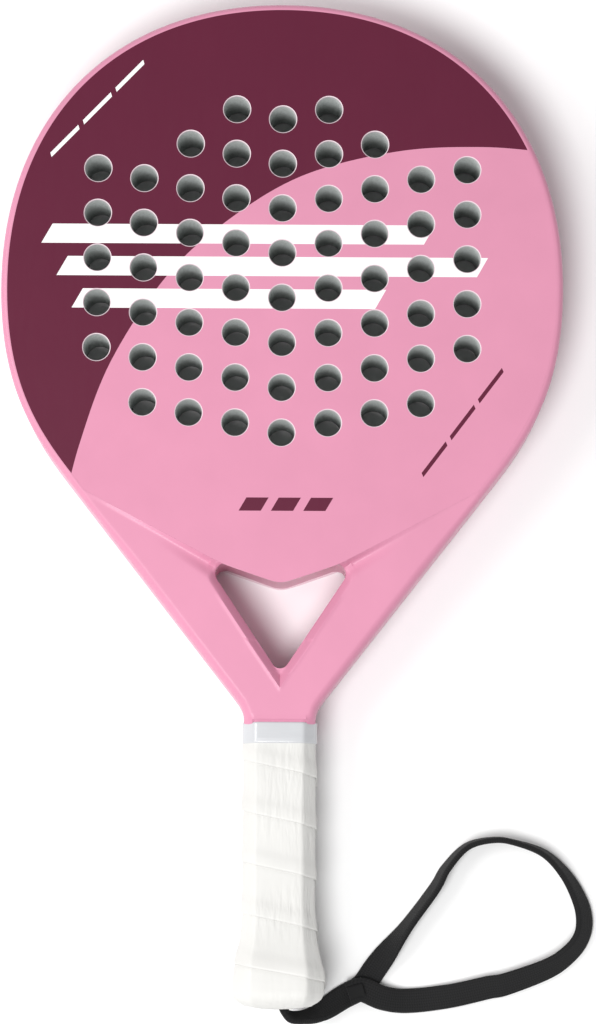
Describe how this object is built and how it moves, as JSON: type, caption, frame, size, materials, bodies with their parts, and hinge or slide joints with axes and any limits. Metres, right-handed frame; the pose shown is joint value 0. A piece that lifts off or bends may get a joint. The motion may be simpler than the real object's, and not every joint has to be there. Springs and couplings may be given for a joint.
{
  "type": "padel racket",
  "caption": "Teardrop padel racket with drilled foam-core head, open throat, wrapped grip and looped wrist strap.",
  "frame": {"origin": "centre of the racket's footprint, strap left out, on the surface it lies on", "axes": "+Y along the handle towards the tip of the head, +Z out of the front face, +X to the right seen from the front"},
  "size_m": [0.2696, 0.4648, 0.038],
  "materials": {
    "frame_paint": "gloss",
    "face_paint": "gloss",
    "eva_foam": "matte",
    "handle_foam": "matte",
    "cap_plastic": "satin",
    "steel": "satin",
    "base_grip": "matte",
    "grip_tape": "satin",
    "collar_tape": "gloss",
    "webbing": "matte",
    "thread": "matte"
  },
  "bodies": {
    "racket": {"frame_tube": "frame_paint", "throat_bridge": "frame_paint", "foam_core": "eva_foam", "front_face": "face_paint", "rear_face": "face_paint", "handle_foam": "handle_foam", "butt_cap": "cap_plastic", "cap_staple_right": "steel", "cap_staple_left": "steel", "strap_pin": "steel", "base_grip": "base_grip", "overgrip": "grip_tape", "grip_collar": "collar_tape"},
    "strap": {"wrist_strap": "webbing", "strap_anchor_loop": "webbing", "strap_bartack": "thread"}
  },
  "joints": [
    {"name": "strap_swing", "type": "hinge", "parent": "racket", "child": "strap", "pos_m": [0, -0.2199, 0.019], "axis": [0, 0, 1], "range_deg": [-60, 0]}
  ]
}
